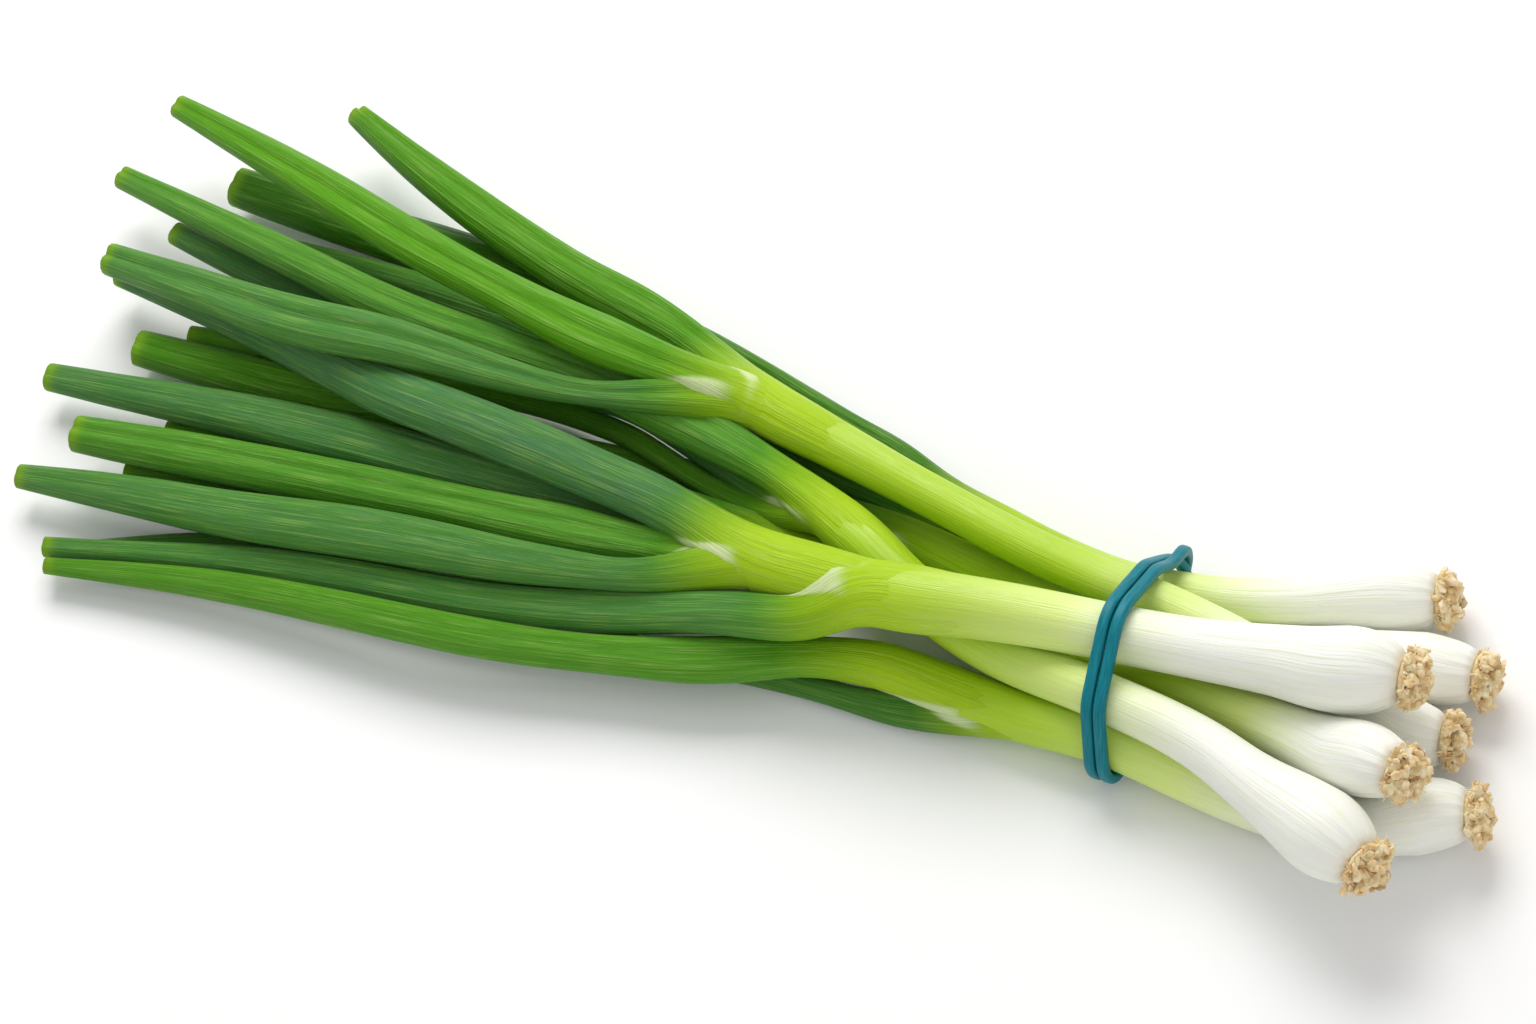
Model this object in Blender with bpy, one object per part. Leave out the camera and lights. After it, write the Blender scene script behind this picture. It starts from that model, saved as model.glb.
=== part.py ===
"""A bunch of seven spring onions, trimmed at both ends and tied with one elastic band.

The constants and routes below are in millimetres and the meshes are made in metres. +X runs along the
bunch towards the bulbs and +Z is up. The origin is on the surface that the bunch lies on, under the middle
of its outline. Each stem, leaf, root tuft and the band is a closed solid of its own.
"""

import math

import bmesh
import bpy
import numpy as np
from mathutils import Vector

MM = 0.001

# Driving dimensions.
GAP = 0.35  # least clearance between two pieces
BULB_END = 9.0  # length over which a bulb rounds off towards its roots
BASE_GIRTH = 11.5  # diameter of a bulb's flat root end
ROOT_RADIUS = 5.9
ROOT_DEPTH = 3.6
BAND_THICKNESS = 2.9
BAND_X = 6.0  # where the band sits along the bunch
BAND_LEAN = 0.06  # how far the band tips towards the leaves, per unit of height
BAND_SKEW = 0.08  # how far the band turns towards the leaves, per unit across the bunch
BAND_MIDDLE = 15.0  # height at which the band is at BAND_X
BAND_OVER = 14.0  # length over which one turn of the band climbs over the other
BAND_POINTS = 40  # points in each of the band's two turns
BAND_SIDES = 6
BAND_CLEAR = 0.45  # gap between the band and the stems under it
STEM_SIDES = 12
LEAF_SIDES = 10
ROOT_SIDES = 14
BULB_RINGS = [0.0, 0.8, 2.6, 5.4, 9.0, 14.0, 20.0, 27.0, 35.0]  # distances from the bulb's root end
SHAFT_START = 45.0  # where the evenly spaced rings of a stem begin
SHAFT_RINGS = 11
NECK_RINGS = [7.0, 3.0, 0.0]  # distances from the stem's leaf end
LEAF_BASE_RINGS = [0.0, 3.0, 8.0]
BLADE_START = 16.0
BLADE_RINGS = 12
STEM_POLES = (0.4, 0.8)  # how far the low cone at each end stands out
LEAF_POLES = (0.6, 0.4)
ROOT_POLE = 0.05
ROOT_OUTLINE = [(0.0, 0.80), (0.25, 1.0), (0.65, 0.94), (0.95, 0.62)]  # share of the depth and of the radius
CREASE_ANGLE = 50  # degrees past which an edge looks sharp

# How the pile settles: crossing pieces part along STACK, the way that the layers lie on each other.
STACK = np.array([0.416, -0.416, 0.809])
SAMPLE = 2.5  # spacing of the spheres that stand for a piece while the pile settles
ROUNDS = 420
FIRM_ROUNDS = 120  # the last rounds only part pieces, with nothing pulling them back
PAIR_ROUNDS = 15  # rounds between two searches for pairs that are near each other
LOOKAHEAD = 4.0  # clearance at which a pair starts to be watched
SPARE = 0.2  # clearance aimed at beyond GAP
STACK_SHARE = 0.65  # how much of a push follows STACK and not the line between the two middles
LEAST_SLANT = 0.4  # a push that is nearly square to that line counts as this slanted
OVERSHOOT = 1.2
LOOSE_BLEND = 0.6  # how much a piece's shifts are evened out in each round, and in the firm ones
FIRM_BLEND = 0.25
PULL_BACK = 0.999
UNDER_BAND_REACH = 14.0  # length along the bunch over which the band lifts the stems
UNDER_BAND_SPARE = 0.9
STEM_WEIGHT = 4.0  # a stem gives way this much less than a leaf

# Routes: x, y, z and diameter at each point that the shape needs. A stem starts at its root end and a leaf
# at its base in the stem's neck.
STEMS = {
    "onion_1": [(65, 32, 11, 18), (58, 30, 11, 18), (49, 28, 11, 15), (39, 25, 10, 12), (25, 21, 9, 11),
                (0, 17, 9, 10), (-28, 19, 10, 10), (-42, 23, 9, 9), (-48, 24, 9, 6)],
    "onion_2": [(78, 20, 9, 17), (71, 19, 9, 17), (61, 19, 9, 14), (47, 17, 8, 12), (29, 13, 8, 10),
                (0, 8, 9, 10), (-39, 10, 8, 10), (-54, 13, 7, 9), (-60, 14, 7, 6)],
    "onion_3": [(69, 5, 25, 20), (62, 4, 25, 20), (54, 2, 25, 19), (42, 2, 24, 16), (28, 1, 23, 14),
                (0, -2, 22, 13), (-30, -6, 22, 14), (-50, -9, 23, 15), (-64, -9, 23, 12),
                (-86, -10, 23, 11), (-92, -10, 23, 7)],
    "onion_4": [(77, 5, 9, 17), (70, 4, 9, 17), (60, 5, 10, 15), (45, 7, 12, 12), (13, 11, 17, 10),
                (-24, 15, 18, 10), (-58, 22, 18, 10), (-92, 28, 20, 12), (-106, 30, 21, 12),
                (-113, 31, 22, 7)],
    "onion_5": [(76, -14, 20, 17), (69, -13, 20, 17), (59, -11, 18, 15), (45, -8, 15, 12),
                (29, -5, 11, 11), (0, -2, 9, 10), (-34, 0, 8, 10), (-78, 2, 7, 10), (-86, 2, 7, 6)],
    "onion_6": [(90, -14, 10, 19), (84, -16, 10, 19), (76, -20, 9, 15), (65, -24, 8, 12),
                (51, -25, 8, 11), (8, -21, 9, 11), (-41, -19, 8, 11), (-52, -18, 8, 9), (-58, -18, 7, 6)],
    "onion_7": [(75, -33, 18, 20), (68, -30, 18, 20), (59, -27, 18, 18), (47, -24, 18, 14),
                (31, -19, 18, 12), (6, -15, 17, 11), (-26, -9, 13, 11), (-54, 1, 11, 12),
                (-75, 10, 12, 11), (-84, 13, 13, 7)],
}
LEAVES = {
    "onion_1_leaf_1": [(-53, 26, 8, 4), (-62, 29, 8, 9), (-84, 35, 8, 10), (-134, 48, 8, 10),
                       (-196, 53, 8, 13), (-250, 55, 8, 11), (-269, 56, 8, 10)],
    "onion_1_leaf_2": [(-53, 22, 6, 3), (-86, 27, 6, 8), (-125, 35, 6, 9), (-206, 43, 6, 9),
                       (-247, 43, 6, 7)],
    "onion_2_leaf_1": [(-65, 17, 6, 4), (-90, 17, 6, 7), (-115, 14, 5, 8), (-149, 5, 5, 9),
                       (-189, -3, 5, 8), (-251, -13, 5, 6)],
    "onion_2_leaf_2": [(-66, 11, 6, 4), (-94, 5, 5, 7), (-133, -5, 5, 8), (-183, -14, 5, 8),
                       (-255, -27, 5, 6)],
    "onion_3_leaf_1": [(-60, -18, 19, 4), (-70, -20, 17, 9), (-93, -25, 14, 10), (-143, -34, 11, 10),
                       (-196, -39, 8, 9), (-249, -50, 6, 5), (-263, -53, 5, 5)],
    "onion_3_leaf_2": [(-98, -7, 24, 4), (-108, -4, 23, 10), (-130, -1, 23, 12), (-190, 7, 21, 12),
                       (-256, 18, 15, 9), (-284, 22, 12, 7)],
    "onion_3_leaf_3": [(-98, -11, 20, 4), (-115, -12, 18, 10), (-165, -16, 16, 11), (-233, -21, 13, 11),
                       (-269, -24, 11, 9)],
    "onion_3_leaf_4": [(-96, -17, 21, 3), (-109, -21, 18, 6), (-130, -24, 16, 9), (-172, -29, 14, 12),
                       (-199, -32, 13, 12), (-255, -36, 10, 9), (-279, -38, 8, 6)],
    "onion_4_leaf_1": [(-118, 29, 24, 4), (-131, 29, 25, 10), (-176, 37, 27, 10), (-209, 45, 26, 11),
                       (-244, 55, 24, 10), (-289, 67, 20, 6)],
    "onion_4_leaf_2": [(-116, 37, 20, 3), (-128, 42, 19, 9), (-169, 52, 19, 11), (-220, 70, 17, 9),
                       (-245, 81, 15, 6)],
    "onion_4_leaf_3": [(-122, 23, 25, 3), (-138, 18, 26, 5), (-170, 15, 27, 9), (-221, 14, 24, 12),
                       (-253, 18, 20, 10), (-284, 22, 15, 8)],
    "onion_5_leaf_1": [(-92, 4, 7, 4), (-120, 4, 8, 8), (-148, 4, 8, 10), (-208, 6, 8, 12),
                       (-269, 5, 8, 9)],
    "onion_5_leaf_2": [(-91, -2, 8, 4), (-113, 0, 9, 7), (-161, -1, 9, 11), (-215, -5, 9, 12),
                       (-243, -7, 9, 10), (-287, -10, 8, 7)],
    "onion_6_leaf_1": [(-64, -20, 10, 4), (-74, -24, 10, 9), (-116, -35, 9, 9), (-168, -41, 8, 9),
                       (-221, -48, 6, 7), (-261, -56, 5, 4)],
    "onion_6_leaf_2": [(-38, -26, 4, 3), (-56, -28, 4, 5), (-78, -30, 4, 7), (-112, -34, 4, 7),
                       (-171, -36, 4, 7), (-226, -40, 4, 6), (-261, -53, 5, 4)],
    "onion_7_leaf_1": [(-90, 17, 16, 4), (-104, 20, 17, 10), (-155, 26, 20, 9), (-201, 28, 20, 10),
                       (-234, 34, 19, 9), (-297, 47, 13, 6)],
    "onion_7_leaf_2": [(-90, 11, 12, 3), (-114, 16, 12, 6), (-149, 24, 12, 7), (-203, 27, 12, 8),
                       (-251, 33, 10, 7), (-277, 38, 9, 6)],
    "onion_7_leaf_3": [(-89, 8, 9, 3), (-113, 12, 7, 5), (-156, 21, 7, 6), (-215, 18, 7, 7),
                       (-259, 13, 7, 5)],
}

COLOURS = {
    "stem": ((0.80, 0.86, 0.58), 0.35),
    "leaf": ((0.07, 0.20, 0.05), 0.40),
    "roots": ((0.72, 0.52, 0.26), 0.85),
    "band": ((0.0, 0.19, 0.25), 0.45),
}


def lengths_along(points):
    """Distance along the line through the points, at each of them."""
    steps = np.linalg.norm(np.diff(points[:, :3], axis=0), axis=1)
    return np.concatenate([[0.0], np.cumsum(steps)])


def read_curve(points, at):
    """Rows of the smooth curve through the points, at the given distances along it."""
    along = lengths_along(points)
    slope = np.gradient(points, along, axis=0)
    start = np.clip(np.searchsorted(along, at, side="right") - 1, 0, len(along) - 2)
    span = (along[start + 1] - along[start])[:, None]
    t = (at - along[start])[:, None] / span
    return ((2 * t**3 - 3 * t**2 + 1) * points[start] + (t**3 - 2 * t**2 + t) * span * slope[start]
            + (3 * t**2 - 2 * t**3) * points[start + 1] + (t**3 - t**2) * span * slope[start + 1])


def sampled(route):
    """The route as rows about SAMPLE apart."""
    points = np.array(route, float)
    length = lengths_along(points)[-1]
    return read_curve(points, np.linspace(0.0, length, round(length / SAMPLE) + 1))


def close_pairs(place, radius, owner):
    """Index pairs of spheres of two different pieces that are near enough to meet soon."""
    reach = radius[:, None] + radius[None, :] + LOOKAHEAD
    apart = np.linalg.norm(place[:, None, :] - place[None, :, :], axis=2)
    first, second = np.nonzero((apart < reach) & (owner[:, None] < owner[None, :]))
    return first, second


def parted(place, radius, weight, pairs):
    """Where the spheres go when each overlapping pair moves apart, mostly along STACK."""
    first, second = pairs
    offset = place[first] - place[second]
    distance = np.linalg.norm(offset, axis=1)
    short = radius[first] + radius[second] + GAP + SPARE - distance
    touching = short > 0
    first, second, short = first[touching], second[touching], short[touching, None]
    normal = offset[touching] / np.maximum(distance[touching, None], 1e-6)
    side = np.where(normal @ STACK < 0, -1.0, 1.0)[:, None]
    push = (1.0 - STACK_SHARE) * normal + STACK_SHARE * side * STACK
    push /= np.linalg.norm(push, axis=1)[:, None]
    push *= short / np.maximum((push * normal).sum(axis=1, keepdims=True), LEAST_SLANT)
    share = (weight[second] / (weight[first] + weight[second]))[:, None]
    move = np.zeros_like(place)
    count = np.ones(len(place))
    np.add.at(move, first, push * share)
    np.add.at(move, second, push * (share - 1.0))
    np.add.at(count, first, 1)
    np.add.at(count, second, 1)
    return place + OVERSHOOT * move / count[:, None]


def eased(shift, blend):
    """A piece's shifts, blended with their neighbours' so that it bends smoothly."""
    smooth = shift.copy()
    smooth[1:-1] = (shift[:-2] + 2 * shift[1:-1] + shift[2:]) / 4
    smooth[0] = (shift[0] + shift[1]) / 2
    smooth[-1] = (shift[-1] + shift[-2]) / 2
    return shift + blend * (smooth - shift)


def floor_height(place, radius):
    """Least height of each sphere's middle: the band lifts the stems that it passes under."""
    under_band = np.exp(-(((place[:, 0] - BAND_X) / UNDER_BAND_REACH) ** 2))
    return radius + (BAND_THICKNESS + UNDER_BAND_SPARE) * under_band


def settle(tubes, weights):
    """The tubes' rows once no two pieces overlap and none is below the surface."""
    sizes = [len(tube) for tube in tubes]
    owner = np.repeat(np.arange(len(tubes)), sizes)
    weight = np.repeat(np.array(weights, float), sizes)
    rows = np.concatenate(tubes)
    start, radius = rows[:, :3].copy(), rows[:, 3] / 2
    place = start.copy()
    ends = np.cumsum(sizes)
    for turn in range(ROUNDS):
        if turn % PAIR_ROUNDS == 0:
            pairs = close_pairs(place, radius, owner)
        place = parted(place, radius, weight, pairs)
        firm = turn >= ROUNDS - FIRM_ROUNDS
        for end, size in zip(ends, sizes):
            piece = slice(end - size, end)
            shift = eased(place[piece] - start[piece], FIRM_BLEND if firm else LOOSE_BLEND)
            place[piece] = start[piece] + shift * (1.0 if firm else PULL_BACK)
        place[:, 2] = np.maximum(place[:, 2], floor_height(place, radius))
    return [np.column_stack([place[end - size:end], rows[end - size:end, 3]])
            for end, size in zip(ends, sizes)]


def frames_along(centres):
    """Two unit vectors across the line at each of its points, carried along it without twisting."""
    ahead = np.gradient(centres, axis=0)
    ahead /= np.linalg.norm(ahead, axis=1)[:, None]
    across = np.cross(ahead[0], (0.0, 0.0, 1.0))
    frames = []
    for direction in ahead:
        across = across - direction * (across @ direction)
        across /= np.linalg.norm(across)
        frames.append((across.copy(), np.cross(across, direction)))
    return frames


def ring_points(centre, frame, radius, sides):
    turns = [2 * math.pi * k / sides for k in range(sides)]
    return [centre + radius * (math.cos(a) * frame[0] + math.sin(a) * frame[1]) for a in turns]


def add_object(name, kind, mesh):
    """The finished piece, smooth-shaded, with a material of its own."""
    colour, roughness = COLOURS[kind]
    material = bpy.data.materials.new(name + "_finish")
    material.use_nodes = True
    shader = material.node_tree.nodes["Principled BSDF"]
    shader.inputs["Base Color"].default_value = (*colour, 1.0)
    shader.inputs["Roughness"].default_value = roughness
    mesh.materials.append(material)
    mesh.shade_smooth()
    mesh.set_sharp_from_angle(angle=math.radians(CREASE_ANGLE))
    piece = bpy.data.objects.new(name, mesh)
    bpy.context.scene.collection.objects.link(piece)
    return piece


def tube(name, kind, centres, radii, sides, poles):
    """A closed tube through the centres, with a low cone at each end that ends in its pole point."""
    form = bmesh.new()
    rings = []
    for centre, frame, radius in zip(centres, frames_along(centres), radii):
        ring = ring_points(centre, frame, radius, sides)
        rings.append([form.verts.new(Vector(point) * MM) for point in ring])
    for ring, following in zip(rings, rings[1:]):
        for k in range(sides):
            form.faces.new((ring[k], ring[k - 1], following[k - 1], following[k]))
    for ring, pole in ((rings[0], poles[0]), (rings[-1], poles[1])):
        tip = form.verts.new(Vector(pole) * MM)
        for k in range(sides):
            form.faces.new((ring[k], ring[k - 1], tip))
    bmesh.ops.recalc_face_normals(form, faces=form.faces)
    mesh = bpy.data.meshes.new(name)
    form.to_mesh(mesh)
    form.free()
    return add_object(name, kind, mesh)


def end_pole(centres, outwards):
    """A point just past the first centre, on the line."""
    direction = centres[0] - centres[1]
    return centres[0] + direction / np.linalg.norm(direction) * outwards


def bulb_girth(girth, along):
    """The stem's diameter, rounded off over the last of the bulb before its roots."""
    t = np.clip(1.0 - along / BULB_END, 0.0, 1.0)
    return BASE_GIRTH + (girth - BASE_GIRTH) * np.sqrt(1.0 - t**2)


def make_stem(onion, rows):
    """White bulb and pale stem up to the neck, as one solid."""
    length = lengths_along(rows)[-1]
    shaft = np.linspace(SHAFT_START, length - NECK_RINGS[0], SHAFT_RINGS)
    along = np.concatenate([BULB_RINGS, shaft, length - np.array(NECK_RINGS[1:])])
    points = read_curve(rows, along)
    centres = points[:, :3]
    radii = bulb_girth(points[:, 3], along) / 2
    poles = (end_pole(centres, STEM_POLES[0]), end_pole(centres[::-1], STEM_POLES[1]))
    return tube(onion + "_stem", "stem", centres, radii, STEM_SIDES, poles)


def make_roots(onion, rows):
    """Low cushion of trimmed roots on the bulb's end."""
    centre = rows[0, :3]
    out = centre - rows[1, :3]
    out /= np.linalg.norm(out)
    start = STEM_POLES[0] + GAP
    centres = np.array([centre + out * (start + share * ROOT_DEPTH) for share, _ in ROOT_OUTLINE])
    radii = [ROOT_RADIUS * share for _, share in ROOT_OUTLINE]
    poles = (centres[0] + out * ROOT_POLE, centre + out * (start + ROOT_DEPTH))
    return tube(onion + "_roots", "roots", centres, radii, ROOT_SIDES, poles)


def make_leaf(name, rows):
    """A hollow green leaf's outer form, cut square at its tip."""
    length = lengths_along(rows)[-1]
    along = np.concatenate([LEAF_BASE_RINGS, np.linspace(BLADE_START, length, BLADE_RINGS)])
    points = read_curve(rows, along)
    centres = points[:, :3]
    poles = (end_pole(centres, LEAF_POLES[0]), end_pole(centres[::-1], LEAF_POLES[1]))
    return tube(name, "leaf", centres, points[:, 3] / 2, LEAF_SIDES, poles)


def band_x(y, z):
    """Where the leaning band's middle is along the bunch."""
    return BAND_X - BAND_LEAN * (z - BAND_MIDDLE) - BAND_SKEW * y


def stem_sections(stems):
    """(y, z, radius) of each stem where the leaning band passes over it, near and far edge of the band."""
    found = []
    for rows in stems:
        for edge in (-BAND_THICKNESS, 0.0, BAND_THICKNESS):
            from_band = rows[:, 0] - band_x(rows[:, 1], rows[:, 2])
            k = int(np.argmin(np.abs(from_band - edge)))
            found.append((rows[k, 1], rows[k, 2], rows[k, 3] / 2))
    return np.array(found)


def taut_outline(sections, clear):
    """Evenly spaced (y, z) and outward direction of the line that a taut band takes round the sections."""
    outline = []
    for k in range(360):
        outward = np.array((math.cos(math.radians(k)), math.sin(math.radians(k))))
        reach = sections[:, :2] @ outward + sections[:, 2] + clear
        section = sections[int(np.argmax(reach))]
        outline.append((*(section[:2] + (section[2] + clear) * outward), *outward))
    closed = np.array(outline + outline[:1])
    along = np.concatenate([[0.0], np.cumsum(np.linalg.norm(np.diff(closed[:, :2], axis=0), axis=1))])
    even = np.linspace(0.0, along[-1], BAND_POINTS, endpoint=False)
    rows = np.column_stack([np.interp(even, along, closed[:, column]) for column in range(4)])
    rows[:, 2:] /= np.linalg.norm(rows[:, 2:], axis=1)[:, None]
    return rows, along[-1]


def crossing(along, turn_length, turn):
    """(side, lift) of a turn: how far it is off the band's middle line, and over the other turn."""
    s = min(1.0, min(along, turn_length - along) / BAND_OVER)
    swing = math.pi / 2 * s * (1.5 - 0.5 * s * s)
    side = math.sin(swing) if turn == 0 else -math.sin(swing)
    goes_over = (turn == 0) == (along < turn_length / 2)
    return side, math.cos(swing) if goes_over else 0.0


def make_band(stems):
    """One elastic band wound twice: its turns lie side by side and cross once, behind the bunch."""
    rows, turn_length = taut_outline(stem_sections(stems), BAND_THICKNESS / 2 + BAND_CLEAR)
    pitch = BAND_THICKNESS + BAND_CLEAR
    centres = []
    for turn in range(2):
        for k, (y, z, out_y, out_z) in enumerate(rows):
            side, lift = crossing(k / BAND_POINTS * turn_length, turn_length, turn)
            x = band_x(y, z) + side * pitch / 2
            centres.append((x, y + lift * pitch * out_y, z + lift * pitch * out_z))
    return closed_tube("elastic_band", "band", np.array(centres), BAND_THICKNESS / 2, BAND_SIDES)


def closed_tube(name, kind, centres, radius, sides):
    """A ring-shaped tube through the centres, whose last section joins its first."""
    form = bmesh.new()
    rings = []
    for k, centre in enumerate(centres):
        ahead = centres[(k + 1) % len(centres)] - centres[k - 1]
        ahead /= np.linalg.norm(ahead)
        across = np.cross(ahead, (1.0, 0.0, 0.0))
        across /= np.linalg.norm(across)
        ring = ring_points(centre, (across, np.cross(across, ahead)), radius, sides)
        rings.append([form.verts.new(Vector(point) * MM) for point in ring])
    for k, ring in enumerate(rings):
        before = rings[k - 1]
        for j in range(sides):
            form.faces.new((before[j], before[j - 1], ring[j - 1], ring[j]))
    bmesh.ops.recalc_face_normals(form, faces=form.faces)
    mesh = bpy.data.meshes.new(name)
    form.to_mesh(mesh)
    form.free()
    return add_object(name, kind, mesh)


def centre_on_origin(pieces):
    """Move every mesh so that the origin is under the middle of the bunch, on the surface it lies on."""
    points = np.array([vertex.co for piece in pieces for vertex in piece.data.vertices])
    low, high = points.min(axis=0), points.max(axis=0)
    middle = Vector(((low[0] + high[0]) / 2, (low[1] + high[1]) / 2, low[2]))
    for piece in pieces:
        for vertex in piece.data.vertices:
            vertex.co -= middle


def main():
    for old in list(bpy.data.objects):
        bpy.data.objects.remove(old, do_unlink=True)
    routes = {**STEMS, **LEAVES}
    weights = [STEM_WEIGHT if name in STEMS else 1.0 for name in routes]
    settled = dict(zip(routes, settle([sampled(route) for route in routes.values()], weights)))
    pieces = []
    for onion in STEMS:
        pieces.append(make_stem(onion, settled[onion]))
        pieces.append(make_roots(onion, settled[onion]))
    for leaf in LEAVES:
        pieces.append(make_leaf(leaf, settled[leaf]))
    pieces.append(make_band([settled[onion] for onion in STEMS]))
    centre_on_origin(pieces)


main()
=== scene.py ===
"""The looks of a tied bunch of spring onions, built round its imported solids.

Every stem, leaf, root cushion and the elastic band is drawn again over its solid's own middle line and
girth, with fine surfaces and finishes of its own.
"""

import math

import bmesh
import bpy
import numpy as np
from bpy.props import FloatProperty, FloatVectorProperty, IntProperty, PointerProperty
from mathutils import Matrix, Vector


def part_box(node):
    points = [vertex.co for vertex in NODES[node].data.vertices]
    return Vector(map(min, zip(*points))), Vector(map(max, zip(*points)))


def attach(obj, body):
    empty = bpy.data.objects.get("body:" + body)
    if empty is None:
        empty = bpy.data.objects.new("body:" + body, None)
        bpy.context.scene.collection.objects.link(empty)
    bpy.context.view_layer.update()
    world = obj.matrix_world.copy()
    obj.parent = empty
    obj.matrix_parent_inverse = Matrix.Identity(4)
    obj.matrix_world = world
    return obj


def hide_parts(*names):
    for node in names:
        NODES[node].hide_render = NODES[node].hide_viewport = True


bl_info = {
    "name": "Spring Onion Bunch",
    "version": (1, 0, 0),
    "blender": (4, 5, 0),
    "location": "3D View > Sidebar > Onions",
    "description": "Draws a tied bunch of spring onions over its solids",
    "category": "Add Mesh",
}

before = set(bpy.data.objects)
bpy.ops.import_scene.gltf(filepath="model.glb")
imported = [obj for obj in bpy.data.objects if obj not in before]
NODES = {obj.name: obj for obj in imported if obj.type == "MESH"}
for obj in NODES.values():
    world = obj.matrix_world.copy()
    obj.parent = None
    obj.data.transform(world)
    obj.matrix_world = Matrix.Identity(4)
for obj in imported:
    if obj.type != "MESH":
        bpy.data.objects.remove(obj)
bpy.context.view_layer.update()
MM = 0.001
ONIONS = sorted({name.rsplit("_stem", 1)[0] for name in NODES if name.endswith("_stem")})
LEAVES = sorted(name for name in NODES if "_leaf_" in name)
# The way that the pile's layers face: leaves lie flattest across it.
CROWN = Vector((0.4156, -0.4156, 0.8090)).normalized()
POINT_GIRTH = 0.001 * MM  # radius of a tube's closed end
STEM_SAMPLES = 400  # points looked at along a stem to find where a leaf leaves it, and where the band passes
BAND_SAMPLES = 600
STEM_EASE = 8  # rounds that ease the turns of a stem's path, and of a leaf's
LEAF_EASE = 30

CROWN_RADIUS = 5.4 * MM  # a bulb's radius where its roots begin
BULB_ROUNDING = 11 * MM  # length over which a bulb rounds off to that
DOME_POWER = 0.80  # 0.5 rounds it as an ellipse, and more gives it sloping shoulders
WRINKLES = (9 * MM, 1 * MM)  # how far from the roots a bulb's wrinkles begin, and where they are deepest
ROOT_CAP = 0.6 * MM  # how far a stem's closing points stand off its root end and its neck's end
NECK_CAP = 1.2 * MM
STEM_LUMPS = 0.05  # unevenness of a stem, as a share of its radius
# How far from its roots each stem stays white, and where its full yellow green begins, in millimetres.
STEM_RIPENING = {
    "onion_1": (20.0, 96.0),
    "onion_2": (22.0, 102.0),
    "onion_3": (38.0, 126.0),
    "onion_4": (30.0, 104.0),
    "onion_5": (14.0, 76.0),
    "onion_6": (20.0, 118.0),
    "onion_7": (36.0, 128.0),
}
NECK_RIPENESS = 0.5  # ripeness of the full yellow green; a leaf's blade ends at 1

# Places of a leaf's sheath, in millimetres before the blade leaves, and the share of its lip at each. A
# sheath starts inside its stem and comes out through the stem's skin.
SHEATH_STEPS = (40.0, 30.0, 20.0, 11.0, 4.0)
SHEATH_LIPS = (-0.9, -0.5, 0.3, 0.9, 1.0)
LEAST_SHEATH = 0.95  # a sheath's least radius, as a share of its first
SHEATH_CAP = 0.3 * MM  # how far the closing point stands off a sheath's start
NECK_LEFT = 7 * MM  # least length of stem past the place where a leaf leaves it
BLADE_START = 0.80  # a blade's least radius at its start, as a share of its sheath's
BLADE_GROWTH = 24 * MM  # length over which a blade comes to its own radius
BLADE_RIPENING = (-4 * MM, 50 * MM)  # where a blade starts to turn green, and is green, past its sheath
BLADE_FORMING = (4 * MM, 30 * MM)  # where it starts to take its own section, and has it
CUT_LENGTH = 7 * MM  # length of a blade that yellows towards its cut tip
# How much sooner than its solid begins a slanting leaf parts from its stem, in millimetres.
EARLY_LEAVES = {"onion_6_leaf_2": 22.0}

MEMBRANE_FULL = 0.15  # share of a sheath edge's reach within which it is fully raised
# How far apart the two tubes' middle lines are where such an edge starts to show, and where it shows fully.
PARTING = (0.8 * MM, 3.6 * MM)
STEM_ZONE = (34 * MM, 20 * MM)  # length of stem, before and past its end, that can have such an edge
SHEATH_ZONE = (22 * MM, 26 * MM)  # length of leaf, before and past its sheath's end
ZONE_EASES = (4 * MM, 8 * MM)  # lengths over which the edge fades at the two ends of its zone

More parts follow.
